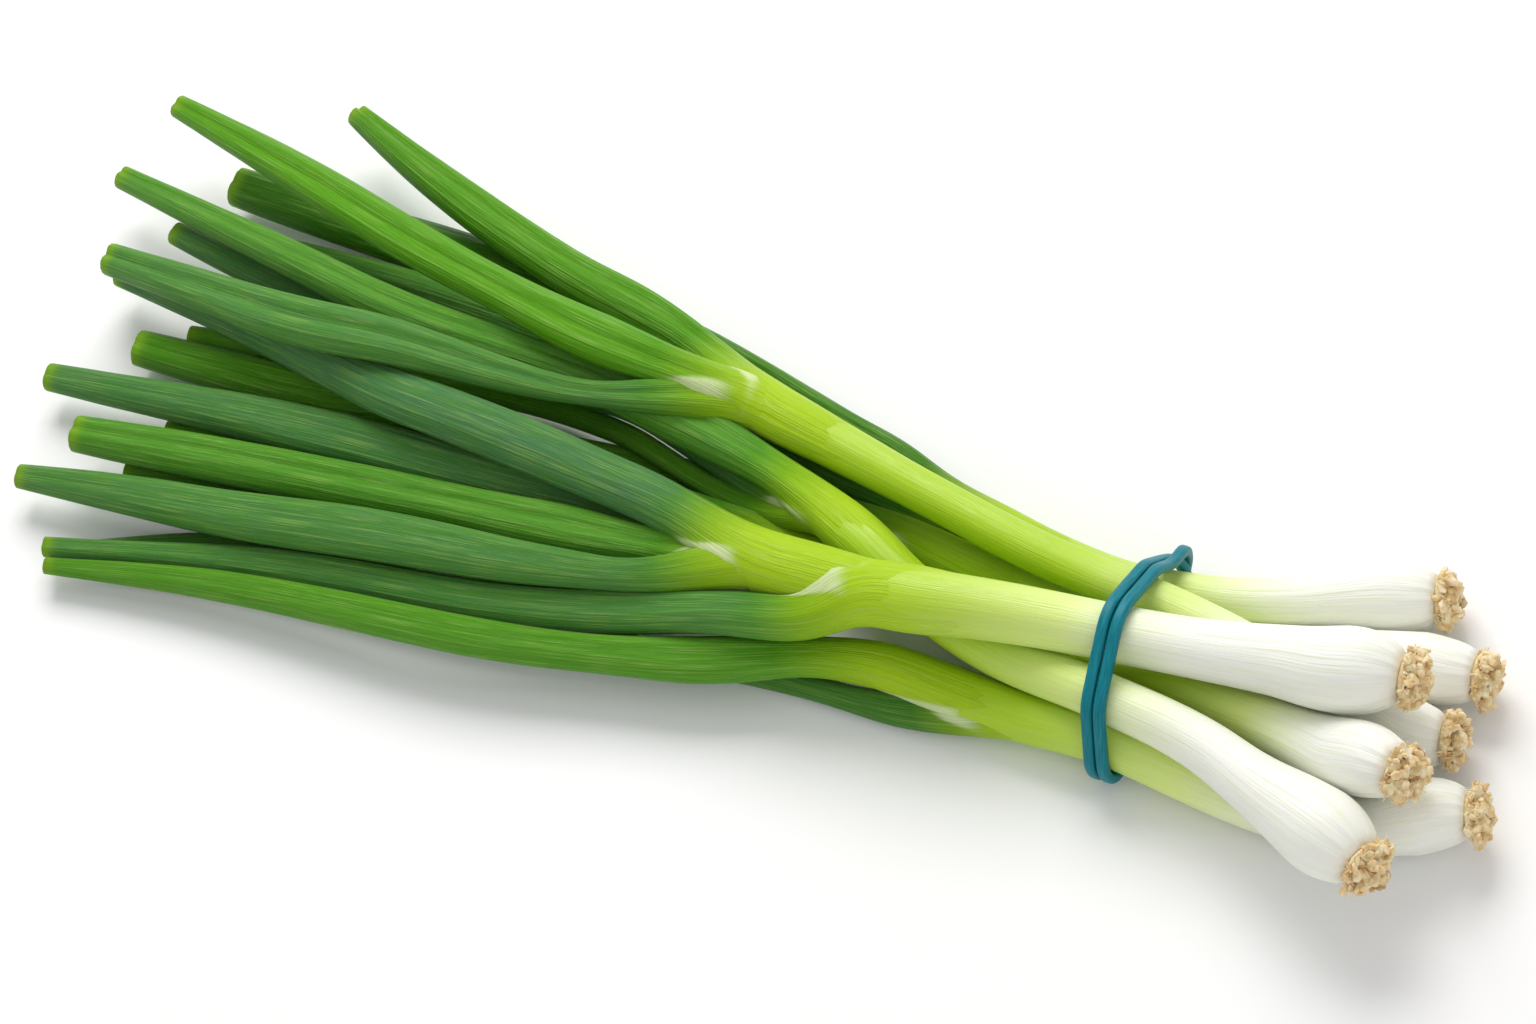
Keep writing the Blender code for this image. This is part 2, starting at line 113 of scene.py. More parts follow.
# wax is a grey bloom, and the darkness field is how dark the green is: partly a leaf's own darker, older
# green and partly painted shade on leaves that lie under others. turn is where a leaf's crease runs round it,
# in turns from its side (a quarter is its crown). groove is the crease's depth, as a share of the radius.
# flat is its thickness over its width. lip is how far its sheath stands over the stem, in millimetres; below
# 0, the sheath lies inside. shine is how strongly it reflects, and grain how strong its fibres are.
STEM_LOOK = {"wax": 0.0, "darkness_and_shade": 0.3, "shine": 0.45, "grain": 0.5}
LEAF_FIELDS = ("wax", "darkness_and_shade", "turn", "groove", "flat", "lip")
LEAF_ROWS = {
    "onion_1_leaf_1": (0.0, 0.75, 0.30, 0.18, 0.90, 0.3),
    "onion_1_leaf_2": (0.30, 0.50, 0.20, 0.09, 0.85, -0.4),
    "onion_2_leaf_1": (0.1, 0.30, 0.25, 0.09, 0.90, 0.3),
    "onion_2_leaf_2": (0.1, 0.40, 0.15, 0.09, 0.90, -0.4),
    "onion_3_leaf_1": (0.60, 0.35, 0.32, 0.11, 0.85, 0.5),
    "onion_3_leaf_2": (0.9, 0.45, 0.12, 0.05, 0.80, 0.4),
    "onion_3_leaf_3": (0.2, 0.35, 0.33, 0.25, 0.90, -0.4),
    "onion_3_leaf_4": (0.6, 0.40, 0.30, 0.09, 0.85, -0.8),
    "onion_4_leaf_1": (0.00, 0.20, 0.28, 0.25, 0.80, -0.3),
    "onion_4_leaf_2": (0.00, 0.35, 0.38, 0.36, 0.90, 0.4),
    "onion_4_leaf_3": (0.60, 0.30, 0.30, 0.32, 0.80, -0.8),
    "onion_5_leaf_1": (0.0, 0.55, 0.30, 0.14, 0.85, 0.3),
    "onion_5_leaf_2": (0.7, 0.50, 0.30, 0.09, 0.85, -0.4),
    "onion_6_leaf_1": (0.1, 0.30, 0.30, 0.11, 0.85, 0.3),
    "onion_6_leaf_2": (0.3, 0.70, 0.20, 0.09, 0.90, -0.4),
    "onion_7_leaf_1": (0.35, 0.15, 0.34, 0.25, 0.85, 0.4),
    "onion_7_leaf_2": (0.7, 0.45, 0.30, 0.09, 0.90, -0.4),
    "onion_7_leaf_3": (0.1, 0.20, 0.30, 0.09, 0.90, -0.8),
}
LEAF_LOOKS = {
    leaf: {**dict(zip(LEAF_FIELDS, row)), "shine": 0.16, "grain": 1.0} for leaf, row in LEAF_ROWS.items()
}

BAND_SEARCH = 3 * MM  # half the width of stem that the band is taken to bear on
BAND_CLEAR = 0.45 * MM  # gap between the stems and the band, as in its solid
BAND_GAP = 0.12 * MM  # gap between its two turns
EVEN_ROUNDS = 3  # rounds that ease the band's line

FIRST_LEAF_SEED = 10.0  # seeds of the leaves' lumps, after the stems' own from 0
FIRST_ROOT_SEED = 3

AT_CUT = 0.99  # points marked as cut above this are the open rim
VEIN_SWAY = 0.14  # how far broad veins, and fine ones, carry the colour along its run
FIBRE_SWAY = 0.10
# Ripeness at which each colour of the run lies: shaft, neck, the turn to green, and green.
COLOUR_STOPS = (0.22, 0.48, 0.62, 0.80)

CUSHION_SIDES = (56, 32)  # segments and rings of a root cushion
# Heights on a cushion, from -1 to 1: where its face begins and is full, and the same for its rim's two sides.
FACE_BEGINS = (-0.55, 0.1)
RIM_BEGINS = (-0.45, -0.2)
RIM_ENDS = (0.35, 0.1)

FLOOR_SIZE = 8.0  # metres
SENSOR_WIDTH = 36.0  # millimetres
NEAREST_SEEN = 0.01  # metres
# Place, width and depth, and colour of each softbox.
KEY_BOX = ((-0.35, 0.75, 0.95), (0.9, 0.7), (1.0, 0.99, 0.97))
FILL_BOX = ((0.9, -0.9, 0.9), (1.0, 1.0), (0.98, 0.99, 1.0))


# ---------------- middle lines and girth


def lengths_along(points):
    """Distance along the line through the points, at each of them."""
    return np.concatenate([[0.0], np.cumsum(np.linalg.norm(np.diff(points[:, :3], axis=0), axis=1))])


def read_curve(rows, at):
    """Rows of the smooth curve through the given rows (x, y, z, radius), at these distances along it."""
    along = lengths_along(rows)
    slope = np.gradient(rows, along, axis=0)
    start = np.clip(np.searchsorted(along, at, side="right") - 1, 0, len(along) - 2)
    span = (along[start + 1] - along[start])[:, None]
    t = (at - along[start])[:, None] / span
    return ((2 * t**3 - 3 * t**2 + 1) * rows[start] + (t**3 - 2 * t**2 + t) * span * slope[start]
            + (3 * t**2 - 2 * t**3) * rows[start + 1] + (t**3 - t**2) * span * slope[start + 1])


def spine_of(node):
    """(x, y, z, radius) of each ring of a solid tube, from its bulb end to its leaf end.

    The rings are found by walking over the mesh from the pole point at one end: each step reaches the next.
    """
    mesh = NODES[node].data
    points = np.array([vertex.co for vertex in mesh.vertices])
    _, first, index = np.unique(points.round(6), axis=0, return_index=True, return_inverse=True)
    points = points[first]
    near = [set() for _ in points]
    for polygon in mesh.polygons:
        corners = [int(index.reshape(-1)[k]) for k in polygon.vertices]
        for k, corner in enumerate(corners):
            near[corner].update((corners[k - 1], corners[(k + 1) % len(corners)]))
    poles = sorted(range(len(points)), key=lambda k: len(near[k]))[-2:]
    ring, seen, rows = {max(poles, key=lambda k: points[k][0])}, set(), []
    while ring:
        seen |= ring
        ring = set().union(*(near[k] for k in ring)) - seen
        if len(ring) > 2:
            corners = points[sorted(ring)]
            centre = corners.mean(axis=0)
            rows.append((*centre, np.linalg.norm(corners - centre, axis=1).mean()))
    return np.array(rows)


SPINES = {name: spine_of(name) for name in NODES if "_stem" in name or "_leaf_" in name}


def smoothstep(low, high, x):
    """0 at low and 1 at high, with a smooth rise between them. Low may be the greater of the two."""
    t = np.clip((x - low) / (high - low), 0.0, 1.0)
    return t * t * (3 - 2 * t)


def softened(rows, rounds):
    """The rows with sharp turns of the path eased, and the places of both ends kept."""
    for _ in range(rounds):
        inner = (rows[:-2] + 2 * rows[1:-1] + rows[2:]) / 4
        rows = np.concatenate([rows[:1], inner, rows[-1:]])
    return rows


def keep(mesh, label, column):
    """Keeps a number or a direction on each point of the mesh."""
    column = np.ascontiguousarray(column, np.float32)
    kind, field = ("FLOAT", "value") if column.ndim == 1 else ("FLOAT_VECTOR", "vector")
    mesh.attributes.new(label, kind, "POINT").data.foreach_set(field, column.ravel())


def placed(name, mesh):
    """A new object of this mesh, in the scene."""
    made = bpy.data.objects.new(name, mesh)
    bpy.context.scene.collection.objects.link(made)
    return made


def path_object(name, rows, values):
    """A line mesh through the rows, with the values and the two directions across it kept on its points."""
    centres = rows[:, :3]
    ahead = np.gradient(centres, axis=0)
    ahead /= np.linalg.norm(ahead, axis=1)[:, None]
    crown = np.array(CROWN) - (ahead @ np.array(CROWN))[:, None] * ahead
    crown /= np.linalg.norm(crown, axis=1)[:, None]
    side = np.cross(crown, ahead)
    mesh = bpy.data.meshes.new(name)
    mesh.from_pydata(centres.tolist(), [(k, k + 1) for k in range(len(centres) - 1)], [])
    for label, column in {"girth": rows[:, 3], **values, "crown": crown, "side": side}.items():
        keep(mesh, label, column)
    return placed(name, mesh)


# ---------------- node tree helpers


def add_node(tree, kind, *sources, **settings):
    """A new node with its settings. Each source feeds the next open input; None leaves that one as it is."""
    made = tree.nodes.new(kind)
    for label, value in settings.items():
        setattr(made, label, value)
    for socket, source in zip([s for s in made.inputs if s.enabled], sources):
        if isinstance(source, bpy.types.NodeSocket):
            tree.links.new(source, socket)
        elif source is not None:
            socket.default_value = source
    return made


def math_node(tree, operation, *sources):
    """The answer of one sum; in a material or in a geometry tree."""
    return add_node(tree, "ShaderNodeMath", *sources, operation=operation).outputs[0]


def vector_node(tree, operation, *sources):
    """The answer of one vector sum: a vector, or a number for a product or a length."""
    made = add_node(tree, "ShaderNodeVectorMath", *sources, operation=operation)
    return next(socket for socket in made.outputs if socket.enabled)


def scaled(tree, vector, factor):
    """The vector times a number."""
    made = tree.nodes.new("ShaderNodeVectorMath")
    made.operation = "SCALE"
    tree.links.new(vector, made.inputs[0])
    if isinstance(factor, bpy.types.NodeSocket):
        tree.links.new(factor, made.inputs["Scale"])
    else:
        made.inputs["Scale"].default_value = factor
    return made.outputs[0]


def times(tree, first, second):
    """One number times another."""
    return math_node(tree, "MULTIPLY", first, second)


def plus(tree, first, second):
    """The sum of two numbers."""
    return math_node(tree, "ADD", first, second)


def swung(tree, noise, height):
    """A noise that lies about 0 in place of a half, times this height."""
    return times(tree, math_node(tree, "SUBTRACT", noise, 0.5), height)


def mixed(tree, factor, first, second, blend="MIX"):
    """Two colours mixed, or blended."""
    made = add_node(tree, "ShaderNodeMix", data_type="RGBA", blend_type=blend)
    for socket, source in zip((made.inputs[0], made.inputs[6], made.inputs[7]), (factor, first, second)):
        if isinstance(source, bpy.types.NodeSocket):
            tree.links.new(source, socket)
        else:
            socket.default_value = source
    return made.outputs[2]


def remapped(tree, value, low, high, to_low=0.0, to_high=1.0):
    """The value carried smoothly from one range to another."""
    made = add_node(tree, "ShaderNodeMapRange", value, low, high, to_low, to_high)
    made.interpolation_type = "SMOOTHSTEP"
    return made.outputs[0]


def ramp(tree, value, stops):
    """A colour that runs through (position, colour) stops."""
    made = add_node(tree, "ShaderNodeValToRGB", value)
    elements = made.color_ramp.elements
    while len(elements) > 1:
        elements.remove(elements[0])
    for k, (position, colour) in enumerate(stops):
        stop = elements[0] if k == 0 else elements.new(position)
        stop.position = position
        stop.color = (*colour[:3], 1.0)
    return made.outputs[0]


def sockets(tree, inputs, outputs):
    """Named inputs and outputs on a tree, and its two end nodes."""
    for label, kind, default in inputs:
        made = tree.interface.new_socket(name=label, in_out="INPUT", socket_type="NodeSocket" + kind)
        if default is not None:
            made.default_value = default
    for label, kind in outputs:
        tree.interface.new_socket(name=label, in_out="OUTPUT", socket_type="NodeSocket" + kind)
    return tree.nodes.new("NodeGroupInput").outputs, tree.nodes.new("NodeGroupOutput").inputs


def noise_node(tree, place, scale, detail=2.0, roughness=0.5, **settings):
    """A noise read at this place."""
    made = add_node(tree, "ShaderNodeTexNoise", place, **settings)
    for label, value in (("Scale", scale), ("Detail", detail), ("Roughness", roughness)):
        made.inputs[label].default_value = value
    return made


def kept(tree, label, kind="FLOAT"):
    """A value kept on the points under this name."""
    return add_node(tree, "GeometryNodeInputNamedAttribute", label, data_type=kind).outputs[0]


def position(tree):
    """Where each point lies."""
    return add_node(tree, "GeometryNodeInputPosition").outputs[0]


def run_tree(host, tree, values):
    """The host's mesh after the tree, as a plain mesh object that takes the host's name."""
    modifier = host.modifiers.new(tree.name, "NODES")
    modifier.node_group = tree
    for item in tree.interface.items_tree:
        if item.item_type == "SOCKET" and item.in_out == "INPUT" and item.name in values:
            modifier[item.identifier] = values[item.name]
    graph = bpy.context.evaluated_depsgraph_get()
    mesh = bpy.data.meshes.new_from_object(host.evaluated_get(graph))
    name = host.name
    host.modifiers.remove(modifier)
    old = host.data
    bpy.data.objects.remove(host)
    bpy.data.meshes.remove(old)
    if not mesh.polygons:
        raise RuntimeError(f"{name} came out of its tree with no faces")
    form = bmesh.new()
    form.from_mesh(mesh)
    bmesh.ops.recalc_face_normals(form, faces=form.faces)
    form.to_mesh(mesh)
    form.free()
    mesh.name = name
    return placed(name, mesh)


# ---------------- grown tubes


def swept(tree, path, sides, girth):
    """A round tube of this girth along the path, with the middle, direction and length kept for it."""
    capture = tree.nodes.new("GeometryNodeCaptureAttribute")
    for kind, label in (("VECTOR", "core"), ("VECTOR", "ahead"), ("FLOAT", "length")):
        capture.capture_items.new(kind, label)
    sources = (add_node(tree, "GeometryNodeMeshToCurve", path).outputs[0], position(tree),
               add_node(tree, "GeometryNodeInputTangent").outputs[0],
               add_node(tree, "GeometryNodeSplineParameter").outputs["Length"])
    for k, source in enumerate(sources):
        tree.links.new(source, capture.inputs[k])
    circle = add_node(tree, "GeometryNodeCurvePrimitiveCircle", sides)
    circle.inputs["Radius"].default_value = 1.0
    skin = add_node(tree, "GeometryNodeCurveToMesh", capture.outputs[0], circle.outputs[0], girth)
    return skin.outputs[0], capture.outputs[1], capture.outputs[2], capture.outputs[3]


def fibre_of(tree, around, length):
    """The fibre's place on a tube: round it as a cosine and a sine, and along it in metres."""
    return add_node(tree, "ShaderNodeCombineXYZ", math_node(tree, "COSINE", around),
                    math_node(tree, "SINE", around), length).outputs[0]


def formed_tube(tree, skin, fibre, formed):
    """The tube's points moved to their formed places, with their fibre kept on them."""
    stored = add_node(tree, "GeometryNodeStoreNamedAttribute", skin, None, "fibre", fibre,
                      data_type="FLOAT_VECTOR", domain="POINT")
    return add_node(tree, "GeometryNodeSetPosition", stored.outputs[0], None, formed).outputs[0]


def end_tree(tree, geometry, finish, result):
    """Ends a tree with its instances made real and its finish put on."""
    real = add_node(tree, "GeometryNodeRealizeInstances", geometry)
    final = add_node(tree, "GeometryNodeSetMaterial", real.outputs[0], None, finish)
    tree.links.new(final.outputs[0], result)


def tube_tree():
    """Sweeps a path's girth into a stem or leaf: flattened, ribbed, creased, and hollow where it was cut."""
    tree = bpy.data.node_groups.new("grown_tube", "GeometryNodeTree")
    given, result = sockets(
        tree,
        [("Path", "Geometry", None), ("Sides", "Int", 40), ("Ribs", "Float", 26.0),
         ("Rib Depth", "Float", 0.012), ("Turn", "Float", 0.25), ("Groove", "Float", 0.1),
         ("Groove Power", "Float", 16.0), ("Lumps", "Float", 0.03), ("Lumps Per Metre", "Float", 18.0),
         ("Seed", "Float", 0.0), ("Wall", "Float", 0.2), ("Hollow", "Float", 0.012),
         ("Bottom", "Float", 0.999), ("Weld", "Float", 0.00003), ("Finish", "Material", None)],
        [("Mesh", "Geometry")])
    skin, core, ahead, length = swept(tree, given["Path"], given["Sides"], kept(tree, "girth"))
    radial = vector_node(tree, "SUBTRACT", position(tree), core)
    side, crown = kept(tree, "side", "FLOAT_VECTOR"), kept(tree, "crown", "FLOAT_VECTOR")
    x = vector_node(tree, "DOT_PRODUCT", radial, side)
    y = vector_node(tree, "DOT_PRODUCT", radial, crown)
    around = math_node(tree, "ARCTAN2", y, x)
    blade = kept(tree, "blade")
    fibre = fibre_of(tree, around, length)

    # Ribs and a crease that form with the blade, and slow lumps all along.
    ribs = math_node(tree, "COSINE", times(tree, around, given["Ribs"]))
    ribs = times(tree, times(tree, ribs, given["Rib Depth"]), blade)
    turned = math_node(tree, "SUBTRACT", around, times(tree, given["Turn"], math.tau))
    facing = math_node(tree, "MAXIMUM", math_node(tree, "COSINE", turned), 0.0)
    groove = times(tree, math_node(tree, "POWER", facing, given["Groove Power"]), given["Groove"])
    groove = times(tree, groove, blade)
    stretch = add_node(tree, "ShaderNodeCombineXYZ", 1.0, 1.0, given["Lumps Per Metre"]).outputs[0]
    noise = noise_node(tree, vector_node(tree, "MULTIPLY", fibre, stretch), 1.1, noise_dimensions="4D")
    tree.links.new(given["Seed"], noise.inputs["W"])
    lumps = swung(tree, noise.outputs[0], given["Lumps"])
    swell = plus(tree, math_node(tree, "SUBTRACT", plus(tree, ribs, lumps), groove), 1.0)
    across = scaled(tree, side, x)
    over = scaled(tree, crown, times(tree, y, kept(tree, "flat")))
    formed = vector_node(tree, "ADD", core, scaled(tree, vector_node(tree, "ADD", across, over), swell))
    geometry = formed_tube(tree, skin, fibre, formed)

    # The open edge at a cut tip goes in by the wall, down into the leaf, and in again to close the bottom.
    neighbours = add_node(tree, "GeometryNodeInputMeshEdgeNeighbors").outputs[0]
    is_open = add_node(tree, "FunctionNodeCompare", neighbours, 1, data_type="INT", operation="EQUAL")
    at_tip = add_node(tree, "FunctionNodeCompare", kept(tree, "cut"), AT_CUT, data_type="FLOAT",
                      operation="GREATER_THAN")
    edge = add_node(tree, "FunctionNodeBooleanMath", is_open.outputs[0], at_tip.outputs[0],
                    operation="AND").outputs[0]
    down = scaled(tree, ahead, times(tree, given["Hollow"], -1.0))
    bottom = vector_node(tree, "ADD", core, down)
    for step in (scaled(tree, vector_node(tree, "SUBTRACT", core, position(tree)), given["Wall"]), down,
                 scaled(tree, vector_node(tree, "SUBTRACT", bottom, position(tree)), given["Bottom"])):
        drawn = add_node(tree, "GeometryNodeExtrudeMesh", geometry, edge, None, 0.0, mode="EDGES")
        edge = drawn.outputs["Top"]
        moved = add_node(tree, "GeometryNodeSetPosition", drawn.outputs["Mesh"], edge, None, step)
        geometry = moved.outputs[0]
    welded = add_node(tree, "GeometryNodeMergeByDistance", geometry)
    tree.links.new(given["Weld"], welded.inputs["Distance"])
    smooth = add_node(tree, "GeometryNodeSetShadeSmooth", welded.outputs[0])
    end_tree(tree, smooth.outputs[0], given["Finish"], result[0])
    return tree


def stem_rows(onion, step):
    """The stem's fine path from its root end to its neck, closed down to a point at both ends."""
    spine = SPINES[onion + "_stem"]
    length = lengths_along(spine)[-1]
    along = np.linspace(0.0, length, int(length / step) + 1)
    rows = softened(read_curve(spine, along), STEM_EASE)
    rounding = np.clip(along / BULB_ROUNDING, 0.0, 1.0)
    dome = (1.0 - (1.0 - rounding) ** 2) ** DOME_POWER
    full = rows[np.argmax(along >= BULB_ROUNDING), 3]
    rows[:, 3] = np.where(along < BULB_ROUNDING, CROWN_RADIUS + (full - CROWN_RADIUS) * dome, rows[:, 3])
    root_end, neck_end = rows[0].copy(), rows[-1].copy()
    for end, inner, reach in ((root_end, rows[1], ROOT_CAP), (neck_end, rows[-2], NECK_CAP)):
        outward = end[:3] - inner[:3]
        end[:3] += outward / np.linalg.norm(outward) * reach
        end[3] = POINT_GIRTH
    return np.concatenate([[root_end], rows, [neck_end]])


def leaf_rows(leaf, step, lip):
    """The leaf's fine path from inside its own stem to its cut tip, where the blade leaves, and ripeness.

    The path follows the stem as a sheath, SHEATH_STEPS before the blade leaves, and then the leaf's solid.
    """
    onion = leaf.split("_leaf_")[0]
    stem, spine = SPINES[onion + "_stem"], SPINES[leaf]
    stem_length = lengths_along(stem)[-1]
    fine = read_curve(stem, np.linspace(0.0, stem_length, STEM_SAMPLES))
    nearest = int(np.argmin(np.linalg.norm(fine[:, :3] - spine[0, :3], axis=1)))
    leaves_stem = min(lengths_along(fine)[nearest], stem_length - NECK_LEFT)
    places = leaves_stem - (np.array(SHEATH_STEPS) + EARLY_LEAVES.get(leaf, 0.0)) * MM
    sheath = read_curve(stem, places)
    sheath[:, 3] = np.maximum(sheath[:, 3], LEAST_SHEATH * sheath[0, 3])
    sheath[:, 3] += (np.array(SHEATH_LIPS) if lip > 0 else 1.0) * lip * MM
    # The solid's first two rings lie inside the stem, where the sheath stands in for them.
    blade, blade_along = spine[2:].copy(), lengths_along(spine)[2:]
    neck_radius = sheath[-1, 3] * BLADE_START
    grown = smoothstep(0.0, BLADE_GROWTH, blade_along)
    blade[:, 3] = np.maximum(blade[:, 3], neck_radius + (blade[:, 3] - neck_radius) * grown)
    rows = np.concatenate([sheath, blade])
    along = lengths_along(rows)
    sheath_end = along[len(sheath) - 1]
    at = np.linspace(0.0, along[-1], int(along[-1] / step) + 1)
    fine_rows = softened(read_curve(rows, at), LEAF_EASE)
    start = fine_rows[:1] + [[SHEATH_CAP, 0.0, 0.0, 0.0]]
    start[0, 3] = POINT_GIRTH
    sheath_ripeness = stem_ripeness(onion, np.minimum(places[0] + at, leaves_stem))
    ripe = sheath_ripeness + (1.0 - sheath_ripeness) * smoothstep(*BLADE_RIPENING, at - sheath_end)
    return np.concatenate([start, fine_rows]), sheath_end, np.concatenate([ripe[:1], ripe])


def stem_ripeness(onion, along):
    """From 0 in the white of the bulb to NECK_RIPENESS in the yellow green of the neck."""
    white, green = STEM_RIPENING[onion]
    return NECK_RIPENESS * smoothstep(white * MM, green * MM, along)


# ---------------- finishes


def held(tree, label, output="Fac"):
    """A value that a piece's points hold under this name, in a material."""
    return add_node(tree, "ShaderNodeAttribute", attribute_name=label).outputs[output]


def new_material(name):
    """A new material, its tree and its shader."""
    material = bpy.data.materials.new(name)
    material.use_nodes = True
    return material, material.node_tree, material.node_tree.nodes["Principled BSDF"]


def bump_shader(tree, shader, height, strength, distance):
    """Lets the height roughen the shader's surface."""
    bump = add_node(tree, "ShaderNodeBump")
    bump.inputs["Strength"].default_value = strength
    bump.inputs["Distance"].default_value = distance
    tree.links.new(height, bump.inputs["Height"])
    tree.links.new(bump.outputs[0], shader.inputs["Normal"])


def set_shader(shader, values):
    """Sets the shader's plain inputs."""
    for label, value in values.items():
        shader.inputs[label].default_value = value


def fibre_group():
    """Lengthwise veins and streaks for anything that grew as a tube, read from the fibre kept on it."""
    tree = bpy.data.node_groups.new("plant_fibre", "ShaderNodeTree")
    given, result = sockets(
        tree, [("Veins", "Float", 17.0), ("Streaks Per Metre", "Float", 55.0)],
        [("Fine", "Float"), ("Broad", "Float"), ("Mottle", "Float")])
    parts = add_node(tree, "ShaderNodeSeparateXYZ", held(tree, "fibre", "Vector"))
    # For each output: its share of the veins, its detail, and its share of the streaks.
    for k, (share, detail, stretch) in enumerate(((1.0, 3.0, 1.0), (0.30, 3.0, 0.35), (0.15, 4.0, 2.2))):
        veins = times(tree, given["Veins"], share)
        along = times(tree, given["Streaks Per Metre"], stretch)
        spot = add_node(tree, "ShaderNodeCombineXYZ", times(tree, parts.outputs[0], veins),
                        times(tree, parts.outputs[1], veins), times(tree, parts.outputs[2], along))
        noise = noise_node(tree, spot.outputs[0], 1.0, detail, 0.6)
        tree.links.new(noise.outputs[0], result[k])
    return tree


def plant_material(name, look, colours, fibre):
    """The finish of a stem or leaf: its colour runs from white root end to green blade by its ripeness."""
    darkness_and_shade, grain = look["darkness_and_shade"], look["grain"]
    material, tree, shader = new_material(name)
    ripe, cut, collar = held(tree, "ripe"), held(tree, "cut"), held(tree, "collar")
    fine, broad, mottle = add_node(tree, "ShaderNodeGroup", node_tree=fibre).outputs
    # The veins carry the colour a little up and down its run.
    wavering = plus(tree, plus(tree, ripe, swung(tree, broad, VEIN_SWAY)), swung(tree, fine, FIBRE_SWAY))
    # Each leaf's green is mixed towards the dark green by its darkness: partly its own darker green, and
    # partly painted shade on leaves that lie under others.
    green = [colours.bright_green[k] * (1 - darkness_and_shade) + colours.old_and_shaded_green[k] * darkness_and_shade for k in range(3)]
    turning = [green[k] * 0.5 + colours.neck[k] * 0.5 for k in range(3)]
    run = zip((0.0, *COLOUR_STOPS), (colours.bulb, colours.shaft, colours.neck, turning, green))
    colour = ramp(tree, wavering, run)
    # Bloom on the ripe leaf, pale and dark fibres, a yellowed cut tip and the thin edge of a sheath.
    bloom = remapped(tree, ripe, 0.62, 0.95, 0.0, look["wax"])
    bloom = times(tree, bloom, remapped(tree, mottle, 0.25, 0.7, 0.55, 1.0))
    colour = mixed(tree, bloom, colour, (*colours.bloom, 1.0))
    pale = remapped(tree, fine, 0.48, 0.70, 0.0, 0.50 * grain)
    colour = mixed(tree, pale, colour, mixed(tree, 0.45, colour, (*colours.pale_fibre, 1.0)))
    dark = remapped(tree, broad, 0.52, 0.28, 0.0, 0.50 * grain)
    colour = mixed(tree, dark, colour, mixed(tree, 1.0, colour, (*colours.dark_fibre, 1.0), "MULTIPLY"))
    colour = mixed(tree, remapped(tree, cut, 0.0, 1.0, 0.0, 0.85), colour, (*colours.cut_tip, 1.0))
    thin = plus(tree, collar, swung(tree, fine, 0.9))
    colour = mixed(tree, remapped(tree, thin, 0.10, 1.10, 0.0, 0.85), colour, (*colours.membrane, 1.0))
    tree.links.new(colour, shader.inputs["Base Color"])
    rough = plus(tree, remapped(tree, mottle, 0.3, 0.7, 0.30, 0.44), times(tree, bloom, 0.16))
    tree.links.new(rough, shader.inputs["Roughness"])
    bump_shader(tree, shader, plus(tree, fine, times(tree, broad, 0.8)), 0.7 * grain, 0.0007)
    set_shader(shader, {"Subsurface Weight": 0.10, "Subsurface Radius": (1.0, 1.0, 0.45),
                        "Subsurface Scale": 0.003, "Specular IOR Level": look["shine"]})
    return material


def root_material(colours):
    """Dry, trimmed root crust: tan with brown pits."""
    material, tree, shader = new_material("dry_roots")
    spot = add_node(tree, "ShaderNodeTexCoord").outputs["Object"]
    coarse = noise_node(tree, spot, 420.0, 5.0).outputs[0]
    colour = ramp(tree, coarse, [(0.30, colours.root_shade), (0.48, colours.root),
                                 (0.68, colours.root_light)])
    pits = remapped(tree, held(tree, "pit"), 0.25, 0.95, 0.0, 0.85)
    tree.links.new(mixed(tree, pits, colour, (*colours.root_pit, 1.0)), shader.inputs["Base Color"])
    bump_shader(tree, shader, coarse, 0.5, 0.0005)
    set_shader(shader, {"Roughness": 0.8, "Subsurface Weight": 0.15, "Subsurface Scale": 0.002})
    return material


def band_material(colours):
    """Smooth coloured rubber with a faint stretch grain along it."""
    material, tree, shader = new_material("band_rubber")
    stretched = vector_node(tree, "MULTIPLY", held(tree, "fibre", "Vector"), (5.0, 5.0, 260.0))
    grain = noise_node(tree, stretched, 1.0, 4.0).outputs[0]
    darker, lighter = [c * 0.75 for c in colours.band], [min(1.0, c * 1.3 + 0.01) for c in colours.band]
    colour = ramp(tree, grain, [(0.3, darker), (0.5, colours.band), (0.75, lighter)])
    tree.links.new(colour, shader.inputs["Base Color"])
    tree.links.new(remapped(tree, grain, 0.3, 0.7, 0.34, 0.50), shader.inputs["Roughness"])
    bump_shader(tree, shader, grain, 0.25, 0.0003)
    set_shader(shader, {"Specular IOR Level": 0.22})
    return material


def floor_material(colours):
    """Matt, almost white paper with a barely visible unevenness."""
    material, tree, shader = new_material("studio_paper")
    noise = noise_node(tree, add_node(tree, "ShaderNodeTexCoord").outputs["Object"], 6.0).outputs[0]
    colour = ramp(tree, noise, [(0.3, [c * 0.99 for c in colours.paper]), (0.7, colours.paper)])
    tree.links.new(colour, shader.inputs["Base Color"])
    set_shader(shader, {"Roughness": 0.95, "Specular IOR Level": 0.1})
    return material


# ---------------- root cushions


